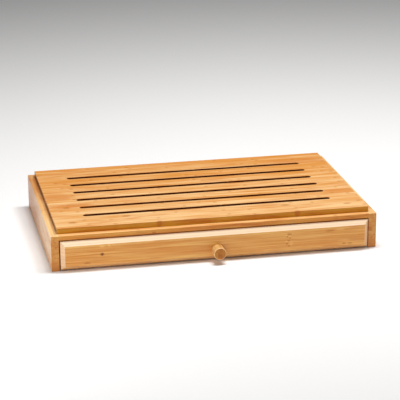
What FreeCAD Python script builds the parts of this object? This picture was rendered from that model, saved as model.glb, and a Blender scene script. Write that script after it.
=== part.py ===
import FreeCAD, Part
import os
import re
import Sketcher
from FreeCAD import Rotation, Vector

# Bread board with a crumb drawer, in millimetres.
# +Z is up, the drawer opens towards -Y, and the origin is the middle of the case's underside.

doc = FreeCAD.newDocument("BreadBoard")

# Driving dimensions: name, value, meaning
driving = (
    ("case_width", 420, "case outside, left to right"),
    ("case_depth", 260, "case outside, front to back"),
    ("case_height", 46, "floor to rim"),
    ("panel_thickness", 10, "side and back panels"),
    ("edge_ease", 0.4, "rounding of the edges a hand meets"),
    ("bottom_thickness", 4, "case bottom"),
    ("bottom_rebate", 5, "how far the case bottom is let into the panels"),
    ("bottom_setback", 1.5, "case bottom behind the closed drawer front"),
    ("panel_play", 0.3, "loose fit of a thin panel's edge in its groove or rebate"),
    ("rail_height", 5.6, "front rail over the drawer"),
    ("rail_depth", 30, "front rail, front to back"),
    ("cleat_depth", 15, "rear cleat, front to back"),
    ("cleat_height", 8, "rear cleat"),
    ("rim_side", 8.6, "rim left bare at each side of the board"),
    ("rim_front", 8, "rim left bare before and behind the board"),
    ("board_thickness", 7.4, "slotted board above the rim"),
    ("slot_width", 7, "crumb slot"),
    ("slot_margin", 43.3, "board's front and back edges to the nearest slot's centre line"),
    ("slot_end_margin", 39.4, "board's end to the slots' ends"),
    ("slot_ease", 0.4, "rounding of the slots' upper edges"),
    ("batten_width", 16, "batten under each end of the board"),
    ("batten_thickness", 6, "batten under each end of the board"),
    ("board_play", 0.5, "battens to the case all round"),
    ("drawer_side_gap", 1.5, "drawer to the side panels"),
    ("drawer_top_gap", 1.7, "drawer front to the rail"),
    ("drawer_foot_gap", 1.7, "drawer front to the floor"),
    ("drawer_running_gap", 0.3, "drawer sides over the case bottom"),
    ("drawer_back_gap", 0.5, "closed drawer to the back panel"),
    ("front_thickness", 12, "drawer front"),
    ("front_stand", 5.8, "how far the drawer front stands out of the case"),
    ("front_bevel", 5.3, "width of the bevel round the drawer front, seen from the front"),
    ("drawer_wall", 8, "drawer sides and back"),
    ("drawer_side_drop", 3.8, "drawer sides below the top of the drawer front"),
    ("tray_thickness", 3, "drawer bottom"),
    ("tray_groove", 3, "depth of the groove that holds the drawer bottom"),
    ("tray_rise", 3, "drawer bottom over the foot of the drawer sides"),
    ("knob_diameter", 16, "turned knob"),
    ("knob_length", 15.7, "turned knob"),
    ("knob_edge", 1.5, "rounding of the knob's front edge"),
    ("knob_rise", 12.7, "knob's axis over the foot of the drawer front"),
    ("knob_screw", 3.5, "diameter of the knob screw"),
    ("knob_screw_head", 7, "head of the knob screw"),
    ("knob_screw_bite", 10, "knob screw inside the knob"),
    ("dowel_diameter", 6, "dowels of the back panel"),
    ("rail_dowel_diameter", 3, "dowels of the front rail"),
    ("drawer_dowel_diameter", 4, "dowels of the drawer"),
    ("dowel_reach", 14, "dowel inside the piece that it holds end on"),
    ("dowel_skin", 2.5, "wood left beyond a blind dowel"),
    ("dowel_inset", 11, "back panel dowels to the panel's top and foot"),
    ("rail_dowel_inset", 7.5, "rail dowels to the rail's front and back"),
    ("drawer_dowel_inset", 6, "drawer dowels to the top edge and to the groove"),
    ("glue_gap", 0.1, "round a dowel, nail or screw in its hole"),
    ("screw_diameter", 3, "screws of the cleat and the battens"),
    ("screw_head", 5.6, "screws of the cleat and the battens"),
    ("screw_skin", 2.4, "wood left beyond a screw's tip"),
    ("screw_inset", 20, "outer screws to the ends of their strip"),
    ("screw_point", 1.5, "length of a screw's point, in screw diameters"),
    ("screw_blunt", 0.25, "width of a screw's tip, in screw diameters"),
    ("recess_arm", 0.3, "half length of a screw's cross recess, in head diameters"),
    ("recess_slit", 0.07, "half width of a screw's cross recess, in head diameters"),
    ("recess_depth", 0.2, "depth of a screw's cross recess, in head diameters"),
    ("nail_diameter", 1.8, "headless nails under the case bottom"),
    ("nail_length", 16, "headless nails under the case bottom"),
    ("nail_inset", 20, "outer nails to the corners of the case bottom"),
)

# Places worked out from the driving dimensions
derived = {
    "case_front": "-case_depth / 2",
    "case_rear": "case_depth / 2",
    "inside_half": "case_width / 2 - panel_thickness",
    "back_face": "case_rear - panel_thickness",
    "rail_foot": "case_height - rail_height",
    "rail_rear": "case_front + rail_depth",
    "cleat_front": "back_face - cleat_depth",
    "bottom_half": "inside_half + bottom_rebate",
    "bottom_front": "front_rear + bottom_setback",
    "bottom_rear": "back_face + bottom_rebate",
    "board_half": "case_width / 2 - rim_side",
    "board_front": "case_front + rim_front",
    "board_rear": "case_rear - rim_front",
    "slot_span": "board_rear - board_front - 2 * slot_margin",
    "batten_outer": "inside_half - board_play",
    "batten_front": "rail_rear + board_play",
    "batten_rear": "cleat_front - board_play",
    "batten_foot": "case_height - batten_thickness",
    "front_half": "inside_half - drawer_side_gap",
    "front_face": "case_front - front_stand",
    "front_rear": "front_face + front_thickness",
    "front_top": "rail_foot - drawer_top_gap",
    "drawer_foot": "bottom_thickness + drawer_running_gap",
    "drawer_top": "front_top - drawer_side_drop",
    "drawer_rear": "back_face - drawer_back_gap",
    "drawer_inner_half": "front_half - drawer_wall",
    "drawer_back_front": "drawer_rear - drawer_wall",
    "tray_foot": "drawer_foot + tray_rise",
    "tray_top": "tray_foot + tray_thickness",
    "tray_half": "drawer_inner_half + tray_groove",
    "tray_front": "front_rear - tray_groove",
    "tray_rear": "drawer_back_front + tray_groove",
    "knob_height": "drawer_foot_gap + knob_rise",
}

# Counts of repeated pieces and cuts
slot_count = 6
side_nails = 4
back_nails = 3
cleat_screw_count = 3
batten_screw_count = 3

sheet = doc.addObject("Spreadsheet::Sheet", "Sizes")
for row, (name, number, meaning) in enumerate(driving, start=1):
    sheet.set(f"A{row}", meaning)
    sheet.set(f"B{row}", str(number))
    sheet.setAlias(f"B{row}", name)
doc.recompute()
aliases = {name for name, number, meaning in driving}

# Two places closer than this, in mm, are the same place
same_place = 0.001

# Rotations that turn a piece made along +Z to lie along another axis
ways = {
    "+X": Rotation(Vector(0, 1, 0), 90),
    "+Y": Rotation(Vector(1, 0, 0), -90),
    "-Y": Rotation(Vector(1, 0, 0), 90),
    "+Z": Rotation(),
}


def formula(words):
    """The words as an expression on the sheet, with derived places spelt out."""
    def spell(match):
        name = match.group(0)
        if name in derived:
            return "(" + formula(derived[name]) + ")"
        return "Sizes." + name if name in aliases else name
    return re.sub(r"[a-z]+(?:_[a-z]+)*", spell, words)


def value(words):
    return float(sheet.evalExpression(formula(words)))


def bind(item, **sizes):
    for name, words in sizes.items():
        item.setExpression(name, formula(words))


def put(item, x, y, z, way="+Z"):
    """Turns a piece made along +Z to lie along a way, and binds its place."""
    item.Placement.Rotation = ways[way]
    for axis, words in zip("xyz", (x, y, z)):
        item.setExpression("Placement.Base." + axis, formula(words))
    return item


def block(name, low, high):
    """A box between two corners, each given as three formulas."""
    item = doc.addObject("Part::Box", name)
    spans = [f"({far}) - ({near})" for near, far in zip(low, high)]
    bind(item, Length=spans[0], Width=spans[1], Height=spans[2])
    return put(item, *low)


def rod(name, radius, length):
    item = doc.addObject("Part::Cylinder", name)
    bind(item, Radius=radius, Height=length)
    return item


def cone(name, radius, end_radius, length):
    item = doc.addObject("Part::Cone", name)
    bind(item, Radius1=radius, Radius2=end_radius, Height=length)
    return item


def joined(name, pieces):
    item = doc.addObject("Part::MultiFuse", name)
    item.Shapes = pieces
    return item


def group(label, pieces):
    """Separate solids that share one node."""
    item = doc.addObject("Part::Compound", label)
    item.Links = pieces
    return item


carvings = []


def carve(label, blank, tools):
    """The blank with every tool cut out of it."""
    item = doc.addObject("Part::Cut", label)
    item.Base = blank
    item.Tool = joined(label + "_cuts", tools) if len(tools) > 1 else tools[0]
    carvings.append((item, blank))
    return item


def mirrored(label, source):
    item = doc.addObject("Part::Mirroring", label)
    item.Source = source
    item.Normal = Vector(1, 0, 0)
    return item


def on_plane(shape, axis, words):
    """Numbers of the edges that lie in the plane where the axis has the given value."""
    level = value(words)
    found = []
    for number, edge in enumerate(shape.Edges, start=1):
        box = edge.BoundBox
        ends = (getattr(box, axis + "Min"), getattr(box, axis + "Max"))
        if all(abs(end - level) < same_place for end in ends):
            found.append(number)
    return found


def shared(shape, axis, places, other_axis, other_places):
    """Numbers of the edges where planes across one axis meet planes across another."""
    one = {number for words in places for number in on_plane(shape, axis, words)}
    other = {number for words in other_places for number in on_plane(shape, other_axis, words)}
    return sorted(one & other)


def eased(name, blank, numbers, radius):
    """The blank with the numbered edges rounded."""
    item = doc.addObject("Part::Fillet", name)
    item.Base = blank
    item.Edges = [(number, value(radius), value(radius)) for number in numbers]
    return item


def body(label, x, y, z):
    return put(doc.addObject("PartDesign::Body", label), x, y, z)


def sketch_on(owner, name, role, shift="0"):
    """A sketch on one of the body's own planes, shifted along that plane's normal."""
    item = owner.newObject("Sketcher::SketchObject", name)
    plane = [part for part in owner.Origin.OriginFeatures if part.Role == role][0]
    item.AttachmentSupport = [(plane, "")]
    item.MapMode = "FlatFace"
    item.setExpression("AttachmentOffset.Base.z", formula(shift))
    return item


def hold(sketch, kind, *parts, words):
    """Adds a dimension to a sketch and binds it to the sheet."""
    number = sketch.addConstraint(Sketcher.Constraint(kind, *parts, value(words)))
    sketch.setExpression(f"Constraints[{number}]", formula(words))


def rectangle(sketch, left, low, width, height):
    """A rectangle, by its lower left corner and its size."""
    x0, y0 = value(left), value(low)
    x1, y1 = x0 + value(width), y0 + value(height)
    corners = [Vector(x0, y0, 0), Vector(x1, y0, 0), Vector(x1, y1, 0), Vector(x0, y1, 0)]
    lines = [
        sketch.addGeometry(Part.LineSegment(corners[turn], corners[(turn + 1) % 4]))
        for turn in range(4)
    ]
    for turn in range(4):
        following = lines[(turn + 1) % 4]
        sketch.addConstraint(Sketcher.Constraint("Coincident", lines[turn], 2, following, 1))
        side = "Vertical" if turn % 2 else "Horizontal"
        sketch.addConstraint(Sketcher.Constraint(side, lines[turn]))
    hold(sketch, "DistanceX", -1, 1, lines[0], 1, words=left)
    hold(sketch, "DistanceY", -1, 1, lines[0], 1, words=low)
    hold(sketch, "DistanceX", lines[0], 1, lines[0], 2, words=width)
    hold(sketch, "DistanceY", lines[1], 1, lines[1], 2, words=height)


def slot_outline(sketch, left, right, middle, width):
    """A slot with round ends, between two ends, about a middle line."""
    x0, x1 = value(left), value(right)
    y, radius = value(middle), value(width) / 2
    up, down = Vector(0, radius, 0), Vector(0, -radius, 0)
    start, finish = Vector(x0 + radius, y, 0), Vector(x1 - radius, y, 0)
    low = sketch.addGeometry(Part.LineSegment(start + down, finish + down))
    far = sketch.addGeometry(Part.Arc(finish + down, Vector(x1, y, 0), finish + up))
    high = sketch.addGeometry(Part.LineSegment(finish + up, start + up))
    near = sketch.addGeometry(Part.Arc(start + up, Vector(x0, y, 0), start + down))
    for side, following in ((low, far), (far, high), (high, near), (near, low)):
        sketch.addConstraint(Sketcher.Constraint("Tangent", side, 2, following, 1))
    sketch.addConstraint(Sketcher.Constraint("Horizontal", low))
    hold(sketch, "Radius", far, words=f"({width}) / 2")
    hold(sketch, "DistanceX", -1, 1, near, 3, words=f"({left}) + ({width}) / 2")
    hold(sketch, "DistanceX", -1, 1, far, 3, words=f"({right}) - ({width}) / 2")
    hold(sketch, "DistanceY", -1, 1, near, 3, words=middle)


def padded(owner, sketch, length, flip=False):
    item = owner.newObject("PartDesign::Pad", sketch.Name + "_pad")
    item.Profile = sketch
    item.Reversed = flip
    bind(item, Length=length)
    return item


def pocketed(owner, sketch, length, flip=False):
    item = owner.newObject("PartDesign::Pocket", sketch.Name + "_pocket")
    item.Profile = sketch
    item.Reversed = flip
    bind(item, Length=length)
    return item


def rounded(owner, base, numbers, radius):
    item = owner.newObject("PartDesign::Fillet", owner.Name + "_fillet")
    item.Base = (base, [f"Edge{number}" for number in numbers])
    bind(item, Radius=radius)
    return item


def spread(first, last, count):
    """Evenly spaced formulas from the first to the last."""
    return [f"({first}) + (({last}) - ({first})) * {turn} / {count - 1}" for turn in range(count)]


def pin(name, way, start, diameter, length):
    """A dowel or nail that starts at a point, and the hole that it sits in."""
    peg = put(rod(name, f"{diameter} / 2", length), *start, way)
    hole = rod(name + "_hole", f"{diameter} / 2 + glue_gap", f"({length}) + 2 * glue_gap")
    axis = "XYZ".index(way[1])
    back = "-" if way[0] == "+" else "+"
    begin = list(start)
    begin[axis] = f"({start[axis]}) {back} glue_gap"
    return peg, put(hole, *begin, way)


def screw(name, way, start, diameter, head, length):
    """A countersunk wood screw with a cross recess, its head's face at a point, and its hole."""
    sink = f"({head} - {diameter}) / 2"
    tip = f"{diameter} * screw_point"
    shank = f"({length}) - {tip}"
    parts = [
        cone(name + "_head", f"{head} / 2", f"{diameter} / 2", sink),
        rod(name + "_shank", f"{diameter} / 2", shank),
        put(cone(name + "_tip", f"{diameter} / 2", f"{diameter} * screw_blunt / 2", tip), "0", "0", shank),
    ]
    arm, slit, sunk = f"{head} * recess_arm", f"{head} * recess_slit", f"{head} * recess_depth"
    recess = [
        block(name + "_recess", (f"-{arm}", f"-{slit}", "0"), (arm, slit, sunk)),
        block(name + "_cross", (f"-{slit}", f"-{arm}", "0"), (slit, arm, sunk)),
    ]
    item = put(carve(name, joined(name + "_blank", parts), recess), *start, way)
    hole = joined(name + "_hole", [
        cone(name + "_sink", f"{head} / 2 + glue_gap", f"{diameter} / 2 + glue_gap", sink),
        rod(name + "_bore", f"{diameter} / 2 + glue_gap", f"({length}) + glue_gap"),
    ])
    return item, put(hole, *start, way)


def pairs(made):
    """Splits pieces with their holes into all the pieces and all the holes."""
    return [piece for piece, hole in made], [hole for piece, hole in made]


nodes = []


def node(item, label):
    item.Label = label
    nodes.append(item)
    return item


# Fasteners of the case. Each is made for the right side, and the left side is its mirror image.

dowel_start = "inside_half - dowel_reach"
dowel_length = "dowel_reach + panel_thickness - dowel_skin"
levels = ("dowel_inset", "case_height - dowel_inset")
case_pins = [
    pin(f"case_dowel_{turn}", "+X", (dowel_start, "case_rear - panel_thickness / 2", level),
        "dowel_diameter", dowel_length)
    for turn, level in enumerate(levels)
]
depths = ("case_front + rail_dowel_inset", "rail_rear - rail_dowel_inset")
rail_pins = [
    pin(f"rail_dowel_{turn}", "+X", (dowel_start, depth, "case_height - rail_height / 2"),
        "rail_dowel_diameter", dowel_length)
    for turn, depth in enumerate(depths)
]
depths = spread("bottom_front + nail_inset", "bottom_rear - nail_inset", side_nails)
side_nail_pins = [
    pin(f"side_nail_{turn}", "+Z", ("inside_half + bottom_rebate / 2", depth, "0"),
        "nail_diameter", "nail_length")
    for turn, depth in enumerate(depths)
]
places = spread("nail_inset - bottom_half", "bottom_half - nail_inset", back_nails)
back_nail_pins = [
    pin(f"back_nail_{turn}", "+Z", (across, "back_face + bottom_rebate / 2", "0"),
        "nail_diameter", "nail_length")
    for turn, across in enumerate(places)
]
places = spread("screw_inset - inside_half", "inside_half - screw_inset", cleat_screw_count)
cleat_screws = [
    screw(f"cleat_screw_{turn}", "+Y", (across, "cleat_front", "case_height - cleat_height / 2"),
          "screw_diameter", "screw_head", "cleat_depth + panel_thickness - screw_skin")
    for turn, across in enumerate(places)
]

case_dowels, case_dowel_holes = pairs(case_pins)
rail_dowels, rail_dowel_holes = pairs(rail_pins)
side_nail_pegs, side_nail_holes = pairs(side_nail_pins)
back_nail_pegs, back_nail_holes = pairs(back_nail_pins)
cleat_screw_pieces, cleat_screw_holes = pairs(cleat_screws)


def both_sides(items):
    """The items and their mirror images on the left."""
    return items + [mirrored(item.Name + "_left", item) for item in items]


# Case side panels, with a stopped rebate for the case bottom. The case's outer edges are eased.

side = body("side_panel", "inside_half", "case_front", "0")
outline = sketch_on(side, "side_outline", "XY_Plane")
rectangle(outline, "0", "0", "panel_thickness", "case_depth")
side_pad = padded(side, outline, "case_height")
rebate = sketch_on(side, "side_rebate", "XY_Plane")
rebate_start = "bottom_front - case_front - panel_play"
rectangle(rebate, "0", rebate_start, "bottom_rebate", f"bottom_rear - case_front - ({rebate_start})")
side_rebate = pocketed(side, rebate, "bottom_thickness", flip=True)
doc.recompute()
side_ends = shared(side_rebate.Shape, "Y", ("0", "case_depth"), "Z", ("0", "case_height"))
side_edges = set(side_ends) | set(on_plane(side_rebate.Shape, "X", "panel_thickness"))
rounded(side, side_rebate, sorted(side_edges), "edge_ease")
doc.recompute()
right_side = carve("side_drilled", side, case_dowel_holes + rail_dowel_holes + side_nail_holes)
node(right_side, "case_side_right")
node(mirrored("side_mirrored", right_side), "case_side_left")

# Back panel between the side panels, rebated along its foot

back_corner = ("-inside_half", "back_face", "0")
back_blank = block("back_blank", back_corner, ("inside_half", "case_rear", "case_height"))
doc.recompute()
back_edges = shared(back_blank.Shape, "Y", ("case_rear",), "Z", ("0", "case_height"))
back_eased = eased("back_eased", back_blank, back_edges, "edge_ease")
back_rebate = block("back_rebate", back_corner, ("inside_half", "bottom_rear", "bottom_thickness"))
back_cuts = [back_rebate] + both_sides(case_dowel_holes) + back_nail_holes + cleat_screw_holes
node(carve("back_panel", back_eased, back_cuts), "case_back")

# Front rail, a flat strip over the drawer that carries the board's front edge

rail_blank = block("rail_blank", ("-inside_half", "case_front", "rail_foot"),
                   ("inside_half", "rail_rear", "case_height"))
doc.recompute()
rail_edges = shared(rail_blank.Shape, "Y", ("case_front",), "Z", ("case_height",))
rail_eased = eased("rail_eased", rail_blank, rail_edges, "edge_ease")
node(carve("front_rail", rail_eased, both_sides(rail_dowel_holes)), "case_front_rail")

# Case bottom, glued and nailed into the rebates and flush with the panels' feet

bottom_blank = block(
    "bottom_blank",
    ("panel_play - bottom_half", "bottom_front", "0"),
    ("bottom_half - panel_play", "bottom_rear - panel_play", "bottom_thickness"),
)
node(carve("bottom_panel", bottom_blank, both_sides(side_nail_holes) + back_nail_holes), "case_bottom")

# Cleat on the back panel that carries the board's rear edge

cleat_blank = block("cleat_blank", ("-inside_half", "cleat_front", "case_height - cleat_height"),
                    ("inside_half", "back_face", "case_height"))
node(carve("rear_cleat", cleat_blank, cleat_screw_holes), "board_cleat_rear")

node(group("case_dowels", both_sides(case_dowels)), "case_back_dowels")
node(group("rail_dowels", both_sides(rail_dowels)), "front_rail_dowels")
node(group("bottom_nails", both_sides(side_nail_pegs) + back_nail_pegs), "case_bottom_nails")
node(group("cleat_screws", cleat_screw_pieces), "cleat_screws")

# Slotted board. It lies on the rim, and its battens drop between the side panels.

depths = spread("batten_front + screw_inset", "batten_rear - screw_inset", batten_screw_count)
batten_screws = [
    screw(f"batten_screw_{turn}", "+Z", ("batten_outer - batten_width / 2", depth, "batten_foot"),
          "screw_diameter", "screw_head", "batten_thickness + board_thickness - screw_skin")
    for turn, depth in enumerate(depths)
]
batten_screw_pieces, batten_screw_holes = pairs(batten_screws)

board = body("board", "-board_half", "board_front", "case_height")
outline = sketch_on(board, "board_outline", "XY_Plane")
rectangle(outline, "0", "0", "2 * board_half", "board_rear - board_front")
board_pad = padded(board, outline, "board_thickness")
slot = sketch_on(board, "board_slot", "XY_Plane")
slot_outline(slot, "slot_end_margin", "2 * board_half - slot_end_margin", "slot_margin", "slot_width")
board_slot = pocketed(board, slot, "board_thickness", flip=True)
slots = board.newObject("PartDesign::LinearPattern", "board_slots")
slots.Originals = [board_slot]
slots.Direction = (slot, ["V_Axis"])
slots.Occurrences = slot_count
bind(slots, Length="slot_span")
board.Tip = slots
doc.recompute()

board_ends, board_sides = ("0", "2 * board_half"), ("0", "board_rear - board_front")
outer_edges = (
    shared(slots.Shape, "X", board_ends, "Z", ("board_thickness",))
    + shared(slots.Shape, "Y", board_sides, "Z", ("board_thickness",))
    + shared(slots.Shape, "X", board_ends, "Y", board_sides)
)
board_edges = rounded(board, slots, outer_edges, "edge_ease")
doc.recompute()


def slot_rims(shape):
    """Upper edges of the slots, which lie well inside the board's outline."""
    left, right = value("slot_end_margin / 2"), value("2 * board_half - slot_end_margin / 2")
    rims = []
    for number in on_plane(shape, "Z", "board_thickness"):
        box = shape.Edges[number - 1].BoundBox
        if left < box.XMin and box.XMax < right:
            rims.append(number)
    return rims


rounded(board, board_edges, slot_rims(board_edges.Shape), "slot_ease")
doc.recompute()
node(carve("board_drilled", board, both_sides(batten_screw_holes)), "bread_board")

batten_blank = block("batten_blank", ("batten_outer - batten_width", "batten_front", "batten_foot"),
                     ("batten_outer", "batten_rear", "case_height"))
right_batten = carve("batten", batten_blank, batten_screw_holes)
node(right_batten, "board_batten_right")
node(mirrored("batten_mirrored", right_batten), "board_batten_left")
node(group("batten_screws", both_sides(batten_screw_pieces)), "batten_screws")

# Fasteners of the drawer

drawer_levels = ("tray_top + drawer_dowel_inset", "drawer_top - drawer_dowel_inset")
front_pins = [
    pin(f"front_dowel_{turn}", "+Y", ("front_half - drawer_wall / 2", "case_front", level),
        "drawer_dowel_diameter", "front_rear - case_front + dowel_reach")
    for turn, level in enumerate(drawer_levels)
]
dowel_start = "drawer_inner_half - dowel_reach"
back_pins = [
    pin(f"back_dowel_{turn}", "+X", (dowel_start, "drawer_rear - drawer_wall / 2", level),
        "drawer_dowel_diameter", "dowel_reach + drawer_wall")
    for turn, level in enumerate(drawer_levels)
]
front_dowels, front_dowel_holes = pairs(front_pins)
back_dowels, back_dowel_holes = pairs(back_pins)
knob_screw, knob_screw_hole = screw(
    "handle_screw", "-Y", ("0", "front_rear", "knob_height"),
    "knob_screw", "knob_screw_head", "front_thickness + knob_screw_bite",
)

# One groove runs round the inside of the drawer for its bottom

tray_slot = block("tray_slot", ("-tray_half", "tray_front", "tray_foot"),
                  ("tray_half", "tray_rear", "tray_top"))

# Drawer front, inset between the side panels. Its bevelled edges stand out of the case.

front = body("front_panel", "-front_half", "front_face", "drawer_foot_gap")
outline = sketch_on(front, "front_outline", "XZ_Plane", "-front_stand")
rectangle(outline, "0", "0", "2 * front_half", "front_top - drawer_foot_gap")
front_pad = padded(front, outline, "front_thickness - front_stand", flip=True)
face = sketch_on(front, "front_face", "XZ_Plane")
face_height = "front_top - drawer_foot_gap - 2 * front_bevel"
rectangle(face, "front_bevel", "front_bevel", "2 * (front_half - front_bevel)", face_height)
bevels = front.newObject("PartDesign::AdditiveLoft", "front_bevels")
bevels.Profile = outline
bevels.Sections = [face]
bevels.Ruled = True
doc.recompute()
front_cuts = [tray_slot, knob_screw_hole] + both_sides(front_dowel_holes)
node(carve("front_grooved", front, front_cuts), "drawer_front")


def long_top_edges(shape):
    """Edges along the top of a drawer side or back, but not those across its ends."""
    top = on_plane(shape, "Z", "drawer_top")
    longest = max(shape.Edges[number - 1].Length for number in top)
    return [number for number in top if shape.Edges[number - 1].Length > longest - same_place]


# Drawer sides, with eased top edges

side_blank = block("drawer_side_blank", ("drawer_inner_half", "front_rear", "drawer_foot"),
                   ("front_half", "drawer_rear", "drawer_top"))
doc.recompute()
side_eased = eased("drawer_side_eased", side_blank, long_top_edges(side_blank.Shape), "edge_ease")
right_wall = carve("drawer_side", side_eased, [tray_slot] + front_dowel_holes + back_dowel_holes)
node(right_wall, "drawer_side_right")
node(mirrored("drawer_side_mirrored", right_wall), "drawer_side_left")

# Drawer back, between the drawer sides

back_blank = block("drawer_back_blank", ("-drawer_inner_half", "drawer_back_front", "drawer_foot"),
                   ("drawer_inner_half", "drawer_rear", "drawer_top"))
doc.recompute()
back_eased = eased("drawer_back_eased", back_blank, long_top_edges(back_blank.Shape), "edge_ease")
node(carve("drawer_back_grooved", back_eased, [tray_slot] + both_sides(back_dowel_holes)), "drawer_back")

# Drawer bottom, loose in its groove all round

node(block("tray", ("panel_play - tray_half", "tray_front + panel_play", "tray_foot"),
           ("tray_half - panel_play", "tray_rear - panel_play", "tray_top")), "drawer_bottom")

node(group("front_dowels", both_sides(front_dowels)), "drawer_front_dowels")
node(group("back_dowels", both_sides(back_dowels)), "drawer_back_dowels")

# Turned knob and its screw

knob = body("knob", "0", "front_face", "knob_height")
outline = sketch_on(knob, "knob_outline", "XZ_Plane")
circle = outline.addGeometry(Part.Circle(Vector(0, 0, 0), Vector(0, 0, 1), value("knob_diameter / 2")))
outline.addConstraint(Sketcher.Constraint("Coincident", circle, 3, -1, 1))
hold(outline, "Diameter", circle, words="knob_diameter")
knob_pad = padded(knob, outline, "knob_length")
doc.recompute()
rounded(knob, knob_pad, on_plane(knob_pad.Shape, "Y", "-knob_length"), "knob_edge")
doc.recompute()
node(carve("knob_drilled", knob, [knob_screw_hole]), "drawer_knob")
node(knob_screw, "knob_screw")

doc.recompute()

# Nothing is written unless every feature and every piece is sound. A cut takes away more than
# the least change, in cubic mm, and the drawer front's bevels add more than that to its pad.

least_change = 0.01
for item in doc.Objects:
    if "Invalid" in item.State or "Error" in item.State:
        raise RuntimeError(f"{item.Name} failed: {item.State}")
shrinking = [(side_rebate, side_pad), (board_slot, board_pad), (slots, board_slot), (front_pad, bevels)]
for smaller, larger in carvings + shrinking:
    if smaller.Shape.Volume > larger.Shape.Volume - least_change:
        raise RuntimeError(f"{smaller.Name} is not smaller than {larger.Name}")
for item in nodes:
    if item.Shape.isNull() or not item.Shape.isValid() or not item.Shape.Solids:
        raise RuntimeError(f"{item.Label} is not a sound solid")

os.makedirs("parts", exist_ok=True)
for item in nodes:
    item.Shape.exportStep(f"parts/{item.Label}.step")
    box = item.Shape.BoundBox
    spans = [f"{getattr(box, axis + 'Min'):.1f}..{getattr(box, axis + 'Max'):.1f}" for axis in "XYZ"]
    print(f"{item.Label}: {len(item.Shape.Solids)} solids at {', '.join(spans)}")
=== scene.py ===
import math
import bpy
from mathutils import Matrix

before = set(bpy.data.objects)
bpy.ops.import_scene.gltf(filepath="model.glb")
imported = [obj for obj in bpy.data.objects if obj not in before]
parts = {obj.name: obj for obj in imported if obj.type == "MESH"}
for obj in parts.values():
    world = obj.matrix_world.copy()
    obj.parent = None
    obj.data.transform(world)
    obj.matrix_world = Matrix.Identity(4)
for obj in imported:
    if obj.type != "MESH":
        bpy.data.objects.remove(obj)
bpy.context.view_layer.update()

print("frame loaded:", len(parts), "nodes")

perMetre = 1000.0                       # mm, because every pattern is sized in mm
factor, first, second = 0, 6, 7         # sockets of a Mix node for colours
firstNumber, secondNumber = 2, 3        # and of one for numbers
noiseSwing = 0.25                       # about how far apart a soft noise's low and high places are
woodIor = 1.5


# sRGB hex to the linear colour that a socket takes
def toLinear(hexColour):
    channels = []
    for start in (0, 2, 4):
        value = int(hexColour[start:start + 2], 16) / 255
        channels.append(value / 12.92 if value <= 0.04045 else ((value + 0.055) / 1.055) ** 2.4)
    return (*channels, 1.0)


# Adds one shader node. An input is a plain value, or a node or an output that it is linked from
def addNode(tree, kind, inputs=(), **settings):
    node = tree.nodes.new("ShaderNode" + kind)
    for name, value in settings.items():
        setattr(node, name, value)
    for socket, value in (inputs.items() if isinstance(inputs, dict) else enumerate(inputs)):
        if isinstance(value, bpy.types.Node):
            value = next(output for output in value.outputs if output.enabled)
        if isinstance(value, bpy.types.NodeSocket):
            tree.links.new(value, node.inputs[socket])
        elif value is not None:
            node.inputs[socket].default_value = value
    return node


# How far a place is from the middle of a spot, in the spot's half sizes
def reachFrom(tree, place, middle, sizes):
    reach = addNode(tree, "VectorMath", [place, middle], operation="SUBTRACT")
    reach = addNode(tree, "VectorMath", [reach, sizes], operation="DIVIDE")
    return addNode(tree, "VectorMath", [reach], operation="LENGTH")


def newMaterial(name):
    material = bpy.data.materials.new(name)
    material.use_nodes = True
    material.node_tree.nodes.clear()
    return material


def dress(material, names):
    for name in names:
        for slot in parts[name].material_slots:
            slot.material = material


# Bamboo, laminated, planed, sanded and oiled. Strips split from the culm are glued side by side,
# 4.8 to 6 mm apart, so the wood shows narrow lines of slightly different tan with fine fibres
# along them. A strip's flat side lies nearer the culm's skin and is deeper in tone, cut ends
# are brown and dotted with fibre bundles, and sanded slopes and edges are paler. On the board's
# and the rail's front faces and on the board's cut ends the deeper tone is also painted shade,
# and on the drawer front's bevel and the knob's rim the paler slopes are also a painted highlight.
# Each strip has a short brown fleck where the culm had a node. The oil leaves a satin sheen.

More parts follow.
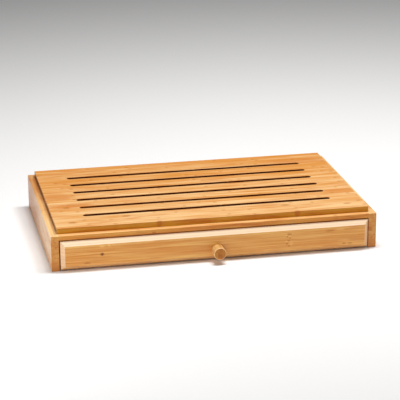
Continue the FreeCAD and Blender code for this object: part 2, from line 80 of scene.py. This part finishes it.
bambooCommon = {
    "pitch": 5.6,                          # mm, one strip and its glue line
    "glueLine": 0.12, "glueFade": 0.36,    # mm from the joint, where the line is full and where it ends
    "glueTone": 0.2, "glueDepth": 0.8,
    "scatter": (78.233, 437.58, 91.7),     # these turn a strip's number into its chances
    "stripShift": 900.0,                   # mm along the culm, at most

    # Layers of grain: mm along, mm across, detail. Fibre bundles are 0.3 mm, drawn coarser to show
    "fibre": (45.0, 0.8, 2.0),
    "streak": (75.0, 2.6, 2.0),            # a darker run of bundles
    "cloud": (95.0, 7.5, 1.0),             # slow change of tone in the culm
    "flame": (60.0, 6.5, 2.0),             # warmer patches
    "layerRoughness": 0.55,
    "wander": 1.6, "wanderScale": 0.011,   # mm that the grain leaves its line, and how often per mm

    "light": "FACB88", "deep": "DC8B3A", "warm": "D67C2E", "brown": "B05A08", "pale": "FFD69C",
    "tones": {"fibre": 0.7, "streak": 1.5, "cloud": 1.5}, "stripTone": 0.4,
    "flameTone": 0.6, "flameRange": (0.52, 0.72),
    "shadeRamp": (-60.0, 110.0), "shadeRampTone": 0.0,    # mm across the strips; painted shade, deepening from the first place to the second

    # Flat sides and cut ends are tinted; on the rail's and the board's front faces the flat tint is partly
    # painted shade
    "flatTint": "EFD389", "endTint": "FBECAB", "faceRange": (0.6, 0.95),
    "edgeTone": 0.35, "slopeRange": (0.06, 0.22), "riseRange": (-0.9, -0.1),
    "endSlope": 1.0,                       # a slope across the grain, against one along it
    "turned": False, "slotShade": None,

    "interval": 179.0,                     # mm from node to node
    "bandTone": 0.14, "bandWidth": 5.0,
    "fleckTone": 0.4, "fleckSize": (2.3, 1.7), "fleckRagged": 2.6, "fleckRange": (1.7, 2.7),
    "besideTone": 0.16, "besideRange": (0.4, 1.3), "besidePlace": 2.0,    # in fleck lengths
    "ragged": (0.8, 2.0),                  # how often per mm, detail
    "marks": (), "markRagged": 1.2, "markRange": (1.2, 2.0),

    "relief": 0.3, "reliefDepth": 0.00006,    # metres
    "roughness": 0.3, "glossSwing": 0.12, "specular": 0.25,
    "coat": 0.5, "slopeCoat": None, "coatRoughness": 0.14,
}


def bambooMaterial(name, look):
    look = {**bambooCommon, **look}
    material = newMaterial(name)
    tree = material.node_tree
    grain, stack, third = ("XYZ".index(letter) for letter in look["axes"])
    coordinates = addNode(tree, "TexCoord")
    normal = coordinates.outputs["Normal"]
    millimetres = addNode(tree, "VectorMath", [coordinates.outputs["Object"], [perMetre] * 3],
                          operation="MULTIPLY")
    split = addNode(tree, "SeparateXYZ", [millimetres])
    along, across, deep = (split.outputs[axis] for axis in (grain, stack, third))

    # Strips, and two chances of its own for each
    numberStep, chanceStep, otherStep = look["scatter"]
    strips = addNode(tree, "Math", [across, -look["start"]], operation="ADD")
    strips = addNode(tree, "Math", [strips, look["pitch"]], operation="DIVIDE")
    number = addNode(tree, "Math", [strips], operation="FLOOR")
    chance = addNode(tree, "Math", [number, numberStep, look["seed"]], operation="MULTIPLY_ADD")
    chance = addNode(tree, "Math", [chance], operation="SINE")
    chance = addNode(tree, "Math", [chance, chanceStep], operation="MULTIPLY")
    chance = addNode(tree, "Math", [chance], operation="FRACT")
    otherChance = addNode(tree, "Math", [chance, otherStep], operation="MULTIPLY")
    otherChance = addNode(tree, "Math", [otherChance], operation="FRACT")
    fromMiddle = addNode(tree, "Math", [strips], operation="FRACT")
    fromMiddle = addNode(tree, "Math", [fromMiddle, 0.5], operation="SUBTRACT")
    fromMiddle = addNode(tree, "Math", [fromMiddle], operation="ABSOLUTE")
    fromMiddle = addNode(tree, "Math", [fromMiddle, look["pitch"]], operation="MULTIPLY")
    joint = look["pitch"] / 2
    glue = addNode(tree, "MapRange", [fromMiddle, joint - look["glueFade"], joint - look["glueLine"],
                                      0.0, 1.0], interpolation_type="SMOOTHSTEP")

    # The grain wanders a little, and each strip starts at another place along the culm
    slow = addNode(tree, "VectorMath", [millimetres, [look["wanderScale"]] * 3], operation="MULTIPLY")
    slow = addNode(tree, "TexNoise", {"Vector": slow, "Scale": 1.0, "Detail": 1.0})
    bent = addNode(tree, "Math", [slow, look["wander"] / noiseSwing, across], operation="MULTIPLY_ADD")
    moved = addNode(tree, "Math", [chance, look["stripShift"], along], operation="MULTIPLY_ADD")
    culm = addNode(tree, "CombineXYZ", [moved, bent, deep])

    layers = {}
    for layer in ("fibre", "streak", "cloud", "flame"):
        length, width, detail = look[layer]
        stretched = addNode(tree, "VectorMath", [culm, (1 / length, 1 / width, 1 / width)],
                            operation="MULTIPLY")
        layers[layer] = addNode(tree, "TexNoise", {"Vector": stretched, "Scale": 1.0, "Detail": detail,
                                                   "Roughness": look["layerRoughness"]})

    # Tone: the layers, the strip's own chance and the painted shade ramp, about the middle of deep and
    # light
    middleTone = 0.5 - (sum(look["tones"].values()) + look["stripTone"]) / 2
    tone = addNode(tree, "MapRange", [across, *look["shadeRamp"], 0.0, -look["shadeRampTone"]])
    tone = addNode(tree, "Math", [tone, middleTone], operation="ADD")
    for layer, strength in look["tones"].items():
        tone = addNode(tree, "Math", [layers[layer], strength, tone], operation="MULTIPLY_ADD")
    tone = addNode(tree, "Math", [otherChance, look["stripTone"], tone], operation="MULTIPLY_ADD",
                   use_clamp=True)
    colour = addNode(tree, "Mix", {factor: tone, first: toLinear(look["deep"]),
                                   second: toLinear(look["light"])}, data_type="RGBA")
    warm = addNode(tree, "MapRange", [layers["flame"], *look["flameRange"], 0.0, look["flameTone"]],
                   interpolation_type="SMOOTHSTEP")
    colour = addNode(tree, "Mix", {factor: warm, first: colour, second: toLinear(look["warm"])},
                     data_type="RGBA")

    # Sanded slopes and edges are paler, from the products of the normal's squared parts; on the drawer
    # front's bevel and the knob's rim this is partly a painted highlight. Slopes that face down are kept
    # less pale: painted shade
    facing = addNode(tree, "VectorMath", [normal, normal], operation="MULTIPLY")
    facing = addNode(tree, "SeparateXYZ", [facing])
    cut, flat, side = (facing.outputs[axis] for axis in (grain, stack, third))
    notCut = addNode(tree, "Math", [1.0, cut], operation="SUBTRACT")
    slope = addNode(tree, "Math", [cut, notCut], operation="MULTIPLY")
    slope = addNode(tree, "Math", [slope, look["endSlope"]], operation="MULTIPLY")
    if not look["turned"]:
        slope = addNode(tree, "Math", [flat, side, slope], operation="MULTIPLY_ADD")
    slope = addNode(tree, "MapRange", [slope, *look["slopeRange"], 0.0, 1.0],
                    interpolation_type="SMOOTHSTEP")
    rise = addNode(tree, "SeparateXYZ", [normal])
    rise = addNode(tree, "MapRange", [rise.outputs["Z"], *look["riseRange"], 0.0, 1.0])
    slope = addNode(tree, "Math", [slope, rise], operation="MULTIPLY")

    # The walls of the slots are painted a deep brown: painted shade inside the slots
    if look["slotShade"]:
        slotShade = look["slotShade"]
        wall = addNode(tree, "MapRange", [side, *slotShade["wallRange"], 1.0, 0.0])
        for place, limit in ((along, slotShade["along"]), (across, slotShade["across"])):
            inside = addNode(tree, "Math", [place], operation="ABSOLUTE")
            inside = addNode(tree, "Math", [inside, limit], operation="LESS_THAN")
            wall = addNode(tree, "Math", [wall, inside], operation="MULTIPLY")
        colour = addNode(tree, "Mix", {factor: wall, first: colour, second: toLinear(slotShade["tint"])},
                         data_type="RGBA", blend_type="MULTIPLY")
        notWall = addNode(tree, "Math", [1.0, wall], operation="SUBTRACT")
        slope = addNode(tree, "Math", [slope, notWall], operation="MULTIPLY")

    # Flat sides and cut ends, then the slopes
    for mask, tint in ((flat, look["flatTint"]), (cut, look["endTint"])):
        mask = addNode(tree, "MapRange", [mask, *look["faceRange"], 0.0, 1.0],
                       interpolation_type="SMOOTHSTEP")
        colour = addNode(tree, "Mix", {factor: mask, first: colour, second: toLinear(tint)},
                         data_type="RGBA", blend_type="MULTIPLY")
    paler = addNode(tree, "Math", [slope, look["edgeTone"]], operation="MULTIPLY")
    colour = addNode(tree, "Mix", {factor: paler, first: colour, second: toLinear(look["pale"])},
                     data_type="RGBA")

    # One node to a strip: a soft darker band with a ragged fleck in it, and a paler spot beside that
    place = addNode(tree, "Math", [along, look["interval"]], operation="DIVIDE")
    place = addNode(tree, "Math", [chance, place], operation="ADD")
    place = addNode(tree, "Math", [place], operation="FRACT")
    place = addNode(tree, "Math", [place, 0.5], operation="SUBTRACT")
    fromNode = addNode(tree, "Math", [place, look["interval"]], operation="MULTIPLY")
    band = addNode(tree, "Math", [fromNode, look["bandWidth"]], operation="DIVIDE")
    band = addNode(tree, "Math", [band], operation="ABSOLUTE")
    band = addNode(tree, "MapRange", [band, 0.0, 1.0, look["bandTone"], 0.0],
                   interpolation_type="SMOOTHSTEP")
    ragScale, ragDetail = look["ragged"]
    ragged = addNode(tree, "TexNoise", {"Vector": culm, "Scale": ragScale, "Detail": ragDetail})
    onStrip = addNode(tree, "CombineXYZ", [fromNode, fromMiddle])
    fleckLength, fleckWidth = look["fleckSize"]
    fleckSizes = (fleckLength, fleckWidth, 1.0)
    reach = reachFrom(tree, onStrip, (0.0, 0.0, 0.0), fleckSizes)
    reach = addNode(tree, "Math", [ragged, look["fleckRagged"], reach], operation="MULTIPLY_ADD")
    marked = addNode(tree, "MapRange", [reach, *look["fleckRange"], look["fleckTone"], 0.0],
                     interpolation_type="SMOOTHSTEP")
    marked = addNode(tree, "Math", [marked, band], operation="MAXIMUM")
    beside = reachFrom(tree, onStrip, (-look["besidePlace"] * fleckLength, 0.0, 0.0), fleckSizes)
    beside = addNode(tree, "MapRange", [beside, *look["besideRange"], look["besideTone"], 0.0],
                     interpolation_type="SMOOTHSTEP")
    colour = addNode(tree, "Mix", {factor: beside, first: colour, second: toLinear(look["pale"])},
                     data_type="RGBA")
    marked = addNode(tree, "Math", [glue, look["glueTone"], marked], operation="MULTIPLY_ADD",
                     use_clamp=True)
    colour = addNode(tree, "Mix", {factor: marked, first: colour, second: toLinear(look["brown"])},
                     data_type="RGBA")

    # Knots and patches at their own places: middle and half sizes in mm, strength, colour
    for middle, sizes, strength, tint in look["marks"]:
        reach = reachFrom(tree, millimetres, middle, sizes)
        reach = addNode(tree, "Math", [ragged, look["markRagged"], reach], operation="MULTIPLY_ADD")
        mark = addNode(tree, "MapRange", [reach, *look["markRange"], strength, 0.0],
                       interpolation_type="SMOOTHSTEP")
        colour = addNode(tree, "Mix", {factor: mark, first: colour, second: toLinear(look[tint])},
                         data_type="RGBA")

    height = addNode(tree, "Math", [glue, -look["glueDepth"], layers["fibre"]], operation="MULTIPLY_ADD")
    bump = addNode(tree, "Bump", {"Strength": look["relief"], "Distance": look["reliefDepth"],
                                  "Height": height})
    gloss = addNode(tree, "Math", [layers["streak"], look["glossSwing"],
                                   look["roughness"] - look["glossSwing"] / 2], operation="MULTIPLY_ADD")
    if look["slotShade"]:
        gloss = addNode(tree, "Mix", {factor: wall, firstNumber: gloss,
                                      secondNumber: look["slotShade"]["roughness"]})
    coat = look["coat"]
    if look["slopeCoat"]:
        coat = addNode(tree, "MapRange", [slope, 0.0, 1.0, coat, look["slopeCoat"]])
    shader = addNode(tree, "BsdfPrincipled", {
        "Base Color": colour, "Roughness": gloss, "Normal": bump, "IOR": woodIor,
        "Specular IOR Level": look["specular"],
        "Coat Weight": coat, "Coat Roughness": look["coatRoughness"]})
    addNode(tree, "OutputMaterial", [shader])
    return material


# The axes are those of the grain, of the strips side by side, and the third one. The start is
# where a strip begins, in mm, and the seed gives a piece its own chances
boardLook = {
    "axes": "XYZ", "start": -122.1, "seed": 1.0,
    # The deep flat tint on the board's front face and the dark end tint on its cut ends are partly painted
    # shade
    "light": "FFD69C", "deep": "E69A48", "flatTint": "DCCC50", "endTint": "8C5F1E",
    # Painted shade: the board darkens towards the rear
    "tones": {"fibre": 1.1, "streak": 1.5, "cloud": 1.3}, "shadeRampTone": 0.35, "coat": 0.0,
    "slotShade": {"along": 175.0, "across": 95.0,    # mm from the middle, round all the slots
               "wallRange": (0.8, 0.98), "tint": "7C3C1E", "roughness": 1.0},
    "marks": [
        ((-170, -38, 53), (26, 8, 8), 0.55, "warm"), ((-186, 0, 53), (20, 12, 8), 0.5, "warm"),
        ((183, -53, 53), (24, 9, 8), 0.4, "warm"), ((160, 91, 53), (40, 14, 8), 0.4, "warm"),
        ((-109, -92.6, 53), (5, 3.2, 4), 0.5, "brown"), ((-179, -103.8, 53), (5, 3, 4), 0.55, "brown"),
        ((-179, -45, 53), (4, 2.6, 4), 0.5, "brown"), ((98, -94.7, 53), (6, 3, 4), 0.45, "brown"),
        ((178, -104.8, 53), (5, 2.6, 4), 0.5, "brown"),
        ((-71.6, -122, 51), (3.4, 3, 5), 0.6, "brown"), ((107, -122, 51), (3.6, 3, 6), 0.6, "brown"),
    ],
}
dress(bambooMaterial("bambooBoardOiled", boardLook), ["bread_board", "case_bottom", "drawer_bottom"])

railLook = {
    "axes": "XYZ", "start": -130.1, "seed": 2.0, "light": "FFD492", "deep": "E29440",
    "interval": 256.0, "coat": 0.2,
    "marks": [
        ((-80, -130, 41.7), (2.4, 3, 1.4), 0.7, "brown"), ((172, -130, 44.4), (3.5, 4, 0.7), 0.6, "brown"),
        ((178, -130, 42.6), (3.0, 4, 0.6), 0.6, "brown"),
    ],
}
dress(bambooMaterial("bambooRailOiled", railLook), ["case_front_rail", "board_cleat_rear"])

# The drawer front's bevel is palest, a painted highlight, and has the most oil
frontLook = {
    "axes": "XZY", "start": 1.6, "seed": 15.9, "pitch": 4.8,
    "fibre": (60.0, 0.6, 2.0), "streak": (90.0, 1.6, 2.0), "cloud": (120.0, 5.0, 1.0), "wander": 0.8,
    "tones": {"fibre": 1.4, "streak": 1.6, "cloud": 0.6},
    "light": "F9C974", "deep": "DA862C", "warm": "D28032", "pale": "FFE2C0", "knot": "8A4400",
    "flatTint": "FFFFFF", "edgeTone": 0.9, "endSlope": 0.62,
    "fleckTone": 0.0, "besideTone": 0.0, "bandTone": 0.0,
    "coat": 0.3, "slopeCoat": 0.9, "coatRoughness": 0.2,
    # All on the front face, so a row says x and z, and the half sizes along and up
    "marks": [((x, -135.8, z), (halfLength, 3, halfHeight), strength, tint)
              for x, z, halfLength, halfHeight, strength, tint in (
        (-147, 20.3, 2.2, 1.9, 1.0, "knot"), (-166, 10, 4, 1.2, 0.6, "brown"),
        (-143, 27.5, 40, 2.2, 0.35, "deep"), (-80, 28.8, 50, 2.4, 0.35, "deep"),
        (45, 9.6, 16, 0.9, 0.5, "warm"), (-78, 10.2, 10, 0.8, 0.5, "warm"),
        (165.5, 10.3, 2.4, 1.0, 0.7, "brown"), (173.5, 10, 3, 0.9, 0.6, "brown"),
        (147, 28.6, 6, 1.0, 0.5, "brown"), (160, 30, 6, 1.0, 0.5, "light"),
        (-147, 31, 3.5, 1.4, 0.6, "light"), (-138, 31.5, 1.6, 1.6, 0.6, "light"),
        (93, 28, 3.2, 1.3, 0.55, "brown"), (90.6, 25, 1.6, 1.1, 0.55, "brown"),
        (94, 23.2, 1.6, 1.0, 0.55, "brown"), (93, 19.6, 1.8, 0.9, 0.5, "brown"),
        (90.2, 15.6, 1.3, 1.6, 0.5, "brown"), (92.8, 12.4, 1.5, 1.1, 0.55, "brown"),
        (89.6, 26.8, 1.5, 0.9, 0.7, "light"), (93.6, 25.2, 1.6, 0.8, 0.7, "light"),
        (89.6, 18.4, 1.4, 0.9, 0.7, "light"), (95.5, 16, 2.4, 3.2, 0.3, "light"),
    )],
}
dress(bambooMaterial("bambooFrontOiled", frontLook), ["drawer_front"])

# The pale light and deep colours of the side panels, shared by the back, are partly a painted sheen, the
# white floor reflected along them
sideLook = {
    "axes": "YZX", "start": -1.4, "seed": 4.0, "pitch": 6.0, "glueTone": 0.4,
    "light": "FFE4C0", "deep": "ECB582", "flatTint": "FFF2CC", "endTint": "DFBA74",
    # Painted shade: the side panels and the back darken towards the floor
    "shadeRamp": (22.0, 2.0), "shadeRampTone": 0.8, "roughness": 0.5, "coat": 0.2,
    "marks": [((-210, 165, 20), (60, 150, 90), 0.48, "brown")],    # painted shade: the left side darkens to the rear
}
dress(bambooMaterial("bambooSideOiled", sideLook), ["case_side_left", "case_side_right"])

backLook = {**sideLook, "axes": "XZY", "seed": 6.0, "marks": ()}
dress(bambooMaterial("bambooBackOiled", backLook), ["case_back", "drawer_back"])

insideLook = {**sideLook, "seed": 8.0, "light": "FFDAA6", "deep": "E6A25E", "shadeRampTone": 0.0, "marks": ()}
dress(bambooMaterial("bambooInsideOiled", insideLook),
      ["drawer_side_left", "drawer_side_right", "board_batten_left", "board_batten_right"])

# Turned round its grain, so only the slopes towards its ends are paler; that pale rim is partly a painted
# highlight
knobLook = {
    "axes": "YXZ", "start": -2.9, "seed": 5.0, "turned": True,
    "light": "E4B975", "deep": "C2813A", "flatTint": "FFFFFF", "endTint": "DBB65E",
    "flameTone": 0.2, "edgeTone": 0.7, "fleckTone": 0.0, "besideTone": 0.0, "bandTone": 0.0, "coat": 0.2,
}
dress(bambooMaterial("bambooKnobTurned", knobLook), ["drawer_knob"])
print("bamboo done")

# Beech for the dowels, turned. It is a pale pinkish brown with short dark dashes, the rays, all
# along the grain

beechLook = {
    "light": "E3BC8F", "deep": "CB9A68", "toneRange": (0.3, 0.7),
    "ray": "9C673A", "rayRange": (0.62, 0.74), "rayTone": 0.6,
    "grain": (30.0, 1.2), "rays": (1.6, 0.35),    # mm along and across
    "relief": 0.3, "reliefDepth": 0.00005,        # metres
    "roughness": 0.55,
}


def beechMaterial(name, axis, look):
    material = newMaterial(name)
    tree = material.node_tree
    coordinates = addNode(tree, "TexCoord")
    layers = []
    for length, width in (look["grain"], look["rays"]):
        scales = [perMetre / width] * 3
        scales[axis] = perMetre / length
        stretched = addNode(tree, "Mapping", {"Vector": coordinates.outputs["Object"], "Scale": scales})
        layers.append(addNode(tree, "TexNoise", {"Vector": stretched, "Scale": 1.0, "Detail": 1.0}))
    grain, rays = layers
    tone = addNode(tree, "MapRange", [grain, *look["toneRange"], 0.0, 1.0])
    colour = addNode(tree, "Mix", {factor: tone, first: toLinear(look["deep"]),
                                   second: toLinear(look["light"])}, data_type="RGBA")
    ray = addNode(tree, "MapRange", [rays, *look["rayRange"], 0.0, look["rayTone"]],
                  interpolation_type="SMOOTHSTEP")
    colour = addNode(tree, "Mix", {factor: ray, first: colour, second: toLinear(look["ray"])},
                     data_type="RGBA")
    bump = addNode(tree, "Bump", {"Strength": look["relief"], "Distance": look["reliefDepth"],
                                  "Height": grain})
    shader = addNode(tree, "BsdfPrincipled", {"Base Color": colour, "Roughness": look["roughness"],
                                              "Normal": bump, "IOR": woodIor})
    addNode(tree, "OutputMaterial", [shader])
    return material


dress(beechMaterial("beechDowelAcross", 0, beechLook),
      ["case_back_dowels", "front_rail_dowels", "drawer_back_dowels"])
dress(beechMaterial("beechDowelLengthways", 1, beechLook), ["drawer_front_dowels"])
print("dowels done")

# Mild steel for the screws and nails, cold headed and zinc plated. It is a cool light grey, a
# little clouded where the plating grew unevenly, and finely gritty

steelLook = {
    "light": "CFD0CC", "dull": "A9AAA6",
    "cloud": 2.5, "cloudRange": (0.35, 0.65),    # mm
    "grit": 0.5, "relief": 0.15, "reliefDepth": 0.00004,    # mm, and the depth in metres
    "roughness": (0.38, 0.26), "glossRange": (0.3, 0.7),
}
steel = newMaterial("zincPlatedSteelHeaded")
tree = steel.node_tree
coordinates = addNode(tree, "TexCoord")
clouds = addNode(tree, "TexNoise", {"Vector": coordinates.outputs["Object"], "Detail": 2.0,
                                    "Scale": perMetre / steelLook["cloud"]})
grit = addNode(tree, "TexNoise", {"Vector": coordinates.outputs["Object"], "Detail": 1.0,
                                  "Scale": perMetre / steelLook["grit"]})
tone = addNode(tree, "MapRange", [clouds, *steelLook["cloudRange"], 0.0, 1.0])
colour = addNode(tree, "Mix", {factor: tone, first: toLinear(steelLook["dull"]),
                               second: toLinear(steelLook["light"])}, data_type="RGBA")
gloss = addNode(tree, "MapRange", [clouds, *steelLook["glossRange"], *steelLook["roughness"]])
bump = addNode(tree, "Bump", {"Strength": steelLook["relief"], "Distance": steelLook["reliefDepth"],
                              "Height": grit})
shader = addNode(tree, "BsdfPrincipled", {"Base Color": colour, "Roughness": gloss, "Normal": bump,
                                          "Metallic": 1.0})
addNode(tree, "OutputMaterial", [shader])
dress(steel, ["case_bottom_nails", "cleat_screws", "batten_screws", "knob_screw"])
print("screws and nails done")

# Board for the studio floor, rolled with matt paint. It is plain, pale and has almost no shine

floorLook = {"size": 40.0, "colour": "FBFAF9", "roughness": 0.9, "specular": 0.1}    # metres
bpy.ops.mesh.primitive_plane_add(size=floorLook["size"], location=(0, 0, 0))
floor = bpy.context.object
floor.name = "studioFloor"
floorMaterial = newMaterial("studioFloorPainted")
tree = floorMaterial.node_tree
shader = addNode(tree, "BsdfPrincipled", {
    "Base Color": toLinear(floorLook["colour"]), "Roughness": floorLook["roughness"],
    "Specular IOR Level": floorLook["specular"]})
addNode(tree, "OutputMaterial", [shader])
floor.data.materials.append(floorMaterial)
print("floor done")

# Two softboxes hang above, a wide fill stands low in front, and three small lamps fill the left
# side and both ends of the front. Metres, watts and degrees
lampLook = {
    "softbox": {"place": (-0.05, 0.04, 1.6), "size": (0.5, 0.34), "power": 15.0, "turn": (0, 0, 0)},
    "sideBox": {"place": (0.48, 0.04, 1.6), "size": (0.45, 0.34), "power": 13.4, "turn": (0, 0, 0)},
    "fill": {"place": (-0.7, -2.6, 0.33), "size": (1.4, 0.5), "power": 9.5, "turn": (83, 0, -15)},
    "card": {"place": (-0.72, -0.42, 0.4), "size": (0.4, 0.4), "power": 1.2, "turn": (60, 0, -60)},
    "left": {"place": (-0.5, -0.38, 0.22), "size": (0.25, 0.25), "power": 0.26, "turn": (63, 0, -48)},
    "right": {"place": (0.65, -0.32, 0.24), "size": (0.3, 0.3), "power": 0.48, "turn": (67, 0, 61)},
}
for name, look in lampLook.items():
    lamp = bpy.data.lights.new(name, "AREA")
    lamp.shape = "RECTANGLE"
    lamp.size, lamp.size_y = look["size"]
    lamp.energy = look["power"]
    light = bpy.data.objects.new(name, lamp)
    light.location = look["place"]
    light.rotation_euler = [math.radians(angle) for angle in look["turn"]]
    bpy.context.scene.collection.objects.link(light)

worldLook = {"colour": (1, 1, 1, 1), "strength": 0.02}
world = bpy.data.worlds.new("studio")
world.use_nodes = True
bpy.context.scene.world = world
background = world.node_tree.nodes["Background"]
background.inputs["Color"].default_value = worldLook["colour"]
background.inputs["Strength"].default_value = worldLook["strength"]
print("lamps done")

# The photograph's view, fitted to the edges of the case, the board and the drawer front
cameraLook = {
    "place": (-0.423594, -2.079421, 0.742375), "turn": (71.60438, 0.29675, -11.76007),    # metres, degrees
    "lens": 151.017, "sensor": 36.0,    # mm
    "clip": (0.05, 100.0),              # metres
}
lens = bpy.data.cameras.new("camera")
lens.lens = cameraLook["lens"]
lens.sensor_width = cameraLook["sensor"]
lens.clip_start, lens.clip_end = cameraLook["clip"]
camera = bpy.data.objects.new("camera", lens)
camera.location = cameraLook["place"]
camera.rotation_euler = [math.radians(angle) for angle in cameraLook["turn"]]
bpy.context.scene.collection.objects.link(camera)
bpy.context.scene.camera = camera
bpy.context.scene.view_settings.view_transform = "Standard"
print("camera done")
